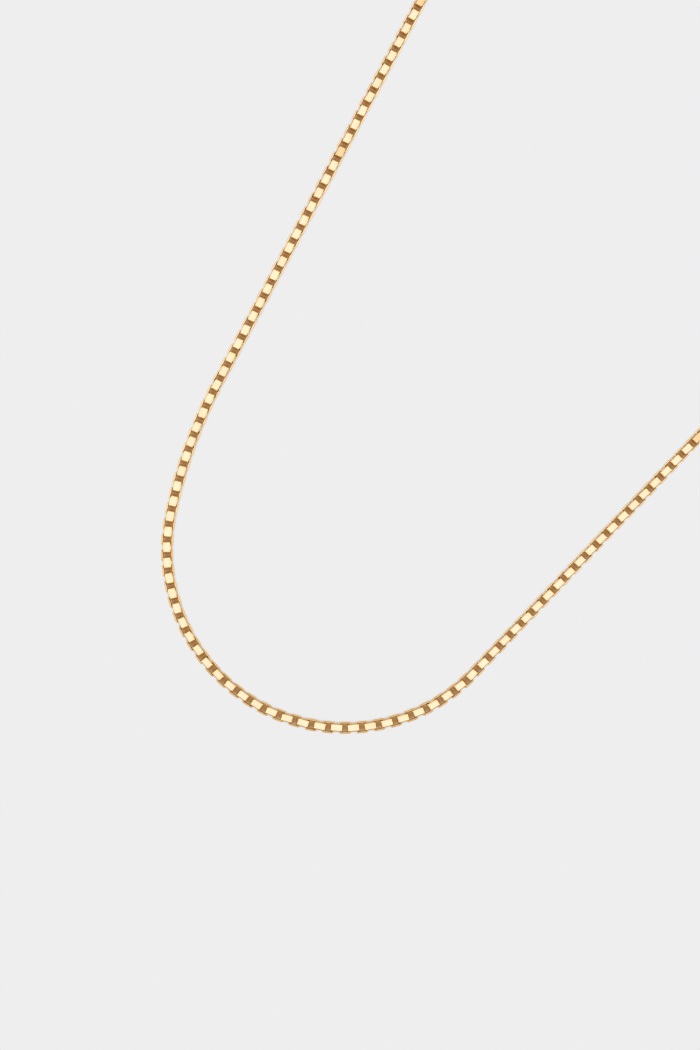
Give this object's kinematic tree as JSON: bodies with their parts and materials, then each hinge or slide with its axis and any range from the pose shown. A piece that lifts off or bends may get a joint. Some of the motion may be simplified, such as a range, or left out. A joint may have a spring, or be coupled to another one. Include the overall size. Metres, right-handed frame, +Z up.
{
  "type": "chain necklace",
  "caption": "Yellow-gold box-chain necklace laid open in a long U, with a sprung lobster clasp on one end and a catch tab on the other.",
  "frame": {"origin": "centre of the laid-out necklace's footprint, on the surface it lies on", "axes": "+Z up from the surface; +Y runs from the foot of the U towards the two ends; +X from the tab arm towards the clasp arm"},
  "size_m": [0.1728, 0.1928, 0.0024],
  "materials": {
    "chain_gold": "polished yellow gold",
    "finding_gold": "polished yellow gold",
    "spring_steel": "drawn spring wire"
  },
  "bodies": {
    "chain_25": {"chain_25": "chain_gold"},
    "chain_01": {"chain_01": "chain_gold"},
    "chain_02": {"chain_02": "chain_gold"},
    "chain_03": {"chain_03": "chain_gold"},
    "chain_04": {"chain_04": "chain_gold"},
    "chain_05": {"chain_05": "chain_gold"},
    "chain_06": {"chain_06": "chain_gold"},
    "chain_07": {"chain_07": "chain_gold"},
    "chain_08": {"chain_08": "chain_gold"},
    "chain_09": {"chain_09": "chain_gold"},
    "chain_10": {"chain_10": "chain_gold"},
    "chain_11": {"chain_11": "chain_gold"},
    "chain_12": {"chain_12": "chain_gold"},
    "chain_13": {"chain_13": "chain_gold"},
    "chain_14": {"chain_14": "chain_gold"},
    "chain_15": {"chain_15": "chain_gold"},
    "chain_16": {"chain_16": "chain_gold"},
    "chain_17": {"chain_17": "chain_gold"},
    "chain_18": {"chain_18": "chain_gold"},
    "chain_19": {"chain_19": "chain_gold"},
    "chain_20": {"chain_20": "chain_gold"},
    "chain_21": {"chain_21": "chain_gold"},
    "chain_22": {"chain_22": "chain_gold"},
    "chain_23": {"chain_23": "chain_gold"},
    "chain_24": {"chain_24": "chain_gold"},
    "chain_26": {"chain_26": "chain_gold"},
    "chain_27": {"chain_27": "chain_gold"},
    "chain_28": {"chain_28": "chain_gold"},
    "chain_29": {"chain_29": "chain_gold"},
    "chain_30": {"chain_30": "chain_gold"},
    "chain_31": {"chain_31": "chain_gold"},
    "chain_32": {"chain_32": "chain_gold"},
    "chain_33": {"chain_33": "chain_gold"},
    "chain_34": {"chain_34": "chain_gold"},
    "chain_35": {"chain_35": "chain_gold"},
    "chain_36": {"chain_36": "chain_gold"},
    "chain_37": {"chain_37": "chain_gold"},
    "chain_38": {"chain_38": "chain_gold"},
    "chain_39": {"chain_39": "chain_gold"},
    "chain_40": {"chain_40": "chain_gold"},
    "chain_41": {"chain_41": "chain_gold"},
    "chain_42": {"chain_42": "chain_gold"},
    "chain_43": {"chain_43": "chain_gold"},
    "chain_44": {"chain_44": "chain_gold"},
    "chain_45": {"chain_45": "chain_gold"},
    "chain_46": {"chain_46": "chain_gold"},
    "chain_47": {"chain_47": "chain_gold"},
    "chain_48": {"chain_48": "chain_gold"},
    "chain_49": {"chain_49": "chain_gold"},
    "chain_50": {"chain_50": "chain_gold"},
    "tab_jump_ring": {"tab_jump_ring": "finding_gold"},
    "catch_tab": {"catch_tab": "finding_gold"},
    "clasp_jump_ring": {"clasp_jump_ring": "finding_gold"},
    "clasp": {"clasp_body": "finding_gold", "clasp_rivet": "finding_gold", "clasp_spring": "spring_steel"},
    "trigger": {"clasp_trigger": "finding_gold"}
  },
  "joints": [
    {"name": "chain_26_sway", "type": "hinge", "parent": "chain_25", "child": "chain_26", "pos_m": [-0.06079, -0.09559, 0.00081], "axis": [0, 0, 1], "range_deg": [-6, 6]},
    {"name": "chain_24_dip", "type": "hinge", "parent": "chain_25", "child": "chain_24", "pos_m": [-0.06956, -0.09412, 0.00081], "axis": [0.3696, 0.9292, 0], "range_deg": [-6, 6]},
    {"name": "chain_27_dip", "type": "hinge", "parent": "chain_26", "child": "chain_27", "pos_m": [-0.05152, -0.09358, 0.00081], "axis": [0.3696, -0.9292, 0], "range_deg": [-6, 6]},
    {"name": "chain_23_sway", "type": "hinge", "parent": "chain_24", "child": "chain_23", "pos_m": [-0.07754, -0.08933, 0.00081], "axis": [0, 0, -1], "range_deg": [-6, 6]},
    {"name": "chain_28_sway", "type": "hinge", "parent": "chain_27", "child": "chain_28", "pos_m": [-0.04434, -0.08882, 0.00081], "axis": [0, 0, -1], "range_deg": [-6, 6]},
    {"name": "chain_22_dip", "type": "hinge", "parent": "chain_23", "child": "chain_22", "pos_m": [-0.08269, -0.0828, 0.00081], "axis": [-0.8934, -0.4493, 0], "range_deg": [-6, 6]},
    {"name": "chain_29_dip", "type": "hinge", "parent": "chain_28", "child": "chain_29", "pos_m": [-0.03808, -0.08227, 0.00081], "axis": [-0.7242, 0.6896, 0], "range_deg": [-6, 6]},
    {"name": "chain_21_sway", "type": "hinge", "parent": "chain_22", "child": "chain_21", "pos_m": [-0.08542, -0.07435, 0.00081], "axis": [0, 0, 1], "range_deg": [-6, 6]},
    {"name": "chain_30_sway", "type": "hinge", "parent": "chain_29", "child": "chain_30", "pos_m": [-0.03247, -0.07638, 0.00081], "axis": [0, 0, 1], "range_deg": [-10, 10]},
    {"name": "chain_20_dip", "type": "hinge", "parent": "chain_21", "child": "chain_20", "pos_m": [-0.08512, -0.06627, 0.00081], "axis": [0.9764, -0.2158, 0], "range_deg": [-10, 10]},
    {"name": "chain_31_dip", "type": "hinge", "parent": "chain_30", "child": "chain_31", "pos_m": [-0.02633, -0.06992, 0.00081], "axis": [0.7242, -0.6896, 0], "range_deg": [-10, 10]},
    {"name": "chain_19_sway", "type": "hinge", "parent": "chain_20", "child": "chain_19", "pos_m": [-0.08274, -0.05769, 0.00081], "axis": [0, 0, -1], "range_deg": [-10, 10]},
    {"name": "chain_32_sway", "type": "hinge", "parent": "chain_31", "child": "chain_32", "pos_m": [-0.02073, -0.06405, 0.00081], "axis": [0, 0, -1], "range_deg": [-10, 10]},
    {"name": "chain_18_dip", "type": "hinge", "parent": "chain_19", "child": "chain_18", "pos_m": [-0.07964, -0.0502, 0.00081], "axis": [-0.8958, 0.4446, 0], "range_deg": [-10, 10]},
    {"name": "chain_33_dip", "type": "hinge", "parent": "chain_32", "child": "chain_33", "pos_m": [-0.01459, -0.0576, 0.00081], "axis": [-0.7242, 0.6896, 0], "range_deg": [-10, 10]},
    {"name": "chain_17_sway", "type": "hinge", "parent": "chain_18", "child": "chain_17", "pos_m": [-0.0755, -0.04231, 0.00081], "axis": [0, 0, 1], "range_deg": [-10, 10]},
    {"name": "chain_34_sway", "type": "hinge", "parent": "chain_33", "child": "chain_34", "pos_m": [-0.00899, -0.05172, 0.00081], "axis": [0, 0, 1], "range_deg": [-10, 10]},
    {"name": "chain_16_dip", "type": "hinge", "parent": "chain_17", "child": "chain_16", "pos_m": [-0.07169, -0.03514, 0.00081], "axis": [0.8829, -0.4695, 0], "range_deg": [-10, 10]},
    {"name": "chain_35_dip", "type": "hinge", "parent": "chain_34", "child": "chain_35", "pos_m": [-0.00287, -0.04525, 0.00081], "axis": [0.7296, -0.6839, 0], "range_deg": [-10, 10]},
    {"name": "chain_15_sway", "type": "hinge", "parent": "chain_16", "child": "chain_15", "pos_m": [-0.06751, -0.02728, 0.00081], "axis": [0, 0, -1], "range_deg": [-10, 10]},
    {"name": "chain_36_sway", "type": "hinge", "parent": "chain_35", "child": "chain_36", "pos_m": [0.00264, -0.03929, 0.00081], "axis": [0, 0, -1], "range_deg": [-10, 10]},
    {"name": "chain_14_dip", "type": "hinge", "parent": "chain_15", "child": "chain_14", "pos_m": [-0.0637, -0.02011, 0.00081], "axis": [-0.8829, 0.4695, 0], "range_deg": [-10, 10]},
    {"name": "chain_37_dip", "type": "hinge", "parent": "chain_36", "child": "chain_37", "pos_m": [0.0086, -0.03267, 0.00081], "axis": [-0.7467, 0.6651, 0], "range_deg": [-10, 10]},
    {"name": "chain_13_sway", "type": "hinge", "parent": "chain_14", "child": "chain_13", "pos_m": [-0.05952, -0.01225, 0.00081], "axis": [0, 0, 1], "range_deg": [-10, 10]},
    {"name": "chain_38_sway", "type": "hinge", "parent": "chain_37", "child": "chain_38", "pos_m": [0.01396, -0.02657, 0.00081], "axis": [0, 0, 1], "range_deg": [-10, 10]},
    {"name": "chain_12_dip", "type": "hinge", "parent": "chain_13", "child": "chain_12", "pos_m": [-0.05571, -0.00508, 0.00081], "axis": [0.8829, -0.4695, 0], "range_deg": [-10, 10]},
    {"name": "chain_39_dip", "type": "hinge", "parent": "chain_38", "child": "chain_39", "pos_m": [0.01975, -0.0198, 0.00081], "axis": [0.7634, -0.6459, 0], "range_deg": [-10, 10]},
    {"name": "chain_11_sway", "type": "hinge", "parent": "chain_12", "child": "chain_11", "pos_m": [-0.05152, 0.00279, 0.00081], "axis": [0, 0, -1], "range_deg": [-10, 10]},
    {"name": "chain_40_sway", "type": "hinge", "parent": "chain_39", "child": "chain_40", "pos_m": [0.02495, -0.01357, 0.00081], "axis": [0, 0, -1], "range_deg": [-10, 10]},
    {"name": "chain_10_dip", "type": "hinge", "parent": "chain_11", "child": "chain_10", "pos_m": [-0.04772, 0.00995, 0.00081], "axis": [-0.8858, 0.464, 0], "range_deg": [-10, 10]},
    {"name": "chain_41_dip", "type": "hinge", "parent": "chain_40", "child": "chain_41", "pos_m": [0.03057, -0.00666, 0.00081], "axis": [-0.7796, 0.6263, 0], "range_deg": [-10, 10]},
    {"name": "chain_09_sway", "type": "hinge", "parent": "chain_10", "child": "chain_09", "pos_m": [-0.04363, 0.01787, 0.00081], "axis": [0, 0, 1], "range_deg": [-10, 10]},
    {"name": "chain_42_sway", "type": "hinge", "parent": "chain_41", "child": "chain_42", "pos_m": [0.0356, -0.00029, 0.00081], "axis": [0, 0, 1], "range_deg": [-10, 10]},
    {"name": "chain_08_dip", "type": "hinge", "parent": "chain_09", "child": "chain_08", "pos_m": [-0.04, 0.02513, 0.00081], "axis": [0.8973, -0.4414, 0], "range_deg": [-10, 10]},
    {"name": "chain_43_dip", "type": "hinge", "parent": "chain_42", "child": "chain_43", "pos_m": [0.04104, 0.00676, 0.00081], "axis": [0.7952, -0.6063, 0], "range_deg": [-10, 10]},
    {"name": "chain_07_sway", "type": "hinge", "parent": "chain_08", "child": "chain_07", "pos_m": [-0.03611, 0.03314, 0.00081], "axis": [0, 0, -1], "range_deg": [-10, 10]},
    {"name": "chain_44_sway", "type": "hinge", "parent": "chain_43", "child": "chain_44", "pos_m": [0.04592, 0.01325, 0.00081], "axis": [0, 0, -1], "range_deg": [-10, 10]},
    {"name": "chain_06_dip", "type": "hinge", "parent": "chain_07", "child": "chain_06", "pos_m": [-0.03266, 0.04049, 0.00081], "axis": [-0.9083, 0.4184, 0], "range_deg": [-10, 10]},
    {"name": "chain_45_dip", "type": "hinge", "parent": "chain_44", "child": "chain_45", "pos_m": [0.05118, 0.02044, 0.00081], "axis": [-0.8104, 0.5859, 0], "range_deg": [-10, 10]},
    {"name": "chain_05_sway", "type": "hinge", "parent": "chain_06", "child": "chain_05", "pos_m": [-0.02898, 0.0486, 0.00081], "axis": [0, 0, 1], "range_deg": [-10, 10]},
    {"name": "chain_46_sway", "type": "hinge", "parent": "chain_45", "child": "chain_46", "pos_m": [0.05589, 0.02705, 0.00081], "axis": [0, 0, 1], "range_deg": [-10, 10]},
    {"name": "chain_04_dip", "type": "hinge", "parent": "chain_05", "child": "chain_04", "pos_m": [-0.02572, 0.05603, 0.00081], "axis": [0.9186, -0.3952, 0], "range_deg": [-10, 10]},
    {"name": "chain_47_dip", "type": "hinge", "parent": "chain_46", "child": "chain_47", "pos_m": [0.06096, 0.03437, 0.00081], "axis": [0.825, -0.5652, 0], "range_deg": [-10, 10]},
    {"name": "chain_03_sway", "type": "hinge", "parent": "chain_04", "child": "chain_03", "pos_m": [-0.02224, 0.06423, 0.00081], "axis": [0, 0, -1], "range_deg": [-10, 10]},
    {"name": "chain_48_sway", "type": "hinge", "parent": "chain_47", "child": "chain_48", "pos_m": [0.0655, 0.0411, 0.00081], "axis": [0, 0, -1], "range_deg": [-10, 10]},
    {"name": "chain_02_dip", "type": "hinge", "parent": "chain_03", "child": "chain_02", "pos_m": [-0.01917, 0.07175, 0.00083], "axis": [-0.9283, 0.3717, 0], "range_deg": [-10, 10]},
    {"name": "chain_49_dip", "type": "hinge", "parent": "chain_48", "child": "chain_49", "pos_m": [0.07039, 0.04855, 0.00083], "axis": [-0.8391, 0.544, 0], "range_deg": [-10, 10]},
    {"name": "chain_01_sway", "type": "hinge", "parent": "chain_02", "child": "chain_01", "pos_m": [-0.01591, 0.08003, 0.00105], "axis": [0.1357, -0.0828, 0.9873], "range_deg": [-10, 10]},
    {"name": "chain_50_sway", "type": "hinge", "parent": "chain_49", "child": "chain_50", "pos_m": [0.07475, 0.05539, 0.00104], "axis": [-0.2119, 0.1016, 0.972], "range_deg": [-10, 10]},
    {"name": "tab_jump_ring_swing", "type": "hinge", "parent": "chain_01", "child": "tab_jump_ring", "pos_m": [-0.01307, 0.08751, 0.00118], "axis": [-0.6625, 0.2471, 0.7071], "range_deg": [-35, 35]},
    {"name": "catch_tab_swing", "type": "hinge", "parent": "tab_jump_ring", "child": "catch_tab", "pos_m": [-0.0126, 0.08878, 0.00118], "axis": [0.6625, -0.2471, 0.7071], "range_deg": [-30, 30]},
    {"name": "clasp_jump_ring_swing", "type": "hinge", "parent": "chain_50", "child": "clasp_jump_ring", "pos_m": [0.07918, 0.06252, 0.00118], "axis": [-0.6029, 0.3695, 0.7071], "range_deg": [-35, 35]},
    {"name": "clasp_swing", "type": "hinge", "parent": "clasp_jump_ring", "child": "clasp", "pos_m": [0.07989, 0.06367, 0.00118], "axis": [0.6029, -0.3695, 0.7071], "range_deg": [-30, 30]},
    {"name": "trigger_press", "type": "hinge", "parent": "clasp", "child": "trigger", "pos_m": [0.08315, 0.06641, 0.00118], "axis": [0, 0, 1], "range_deg": [0, 24], "stiffness_Nm_per_rad": 0.002, "springref_deg": -17.19, "deforming": ["clasp_spring"]}
  ]
}
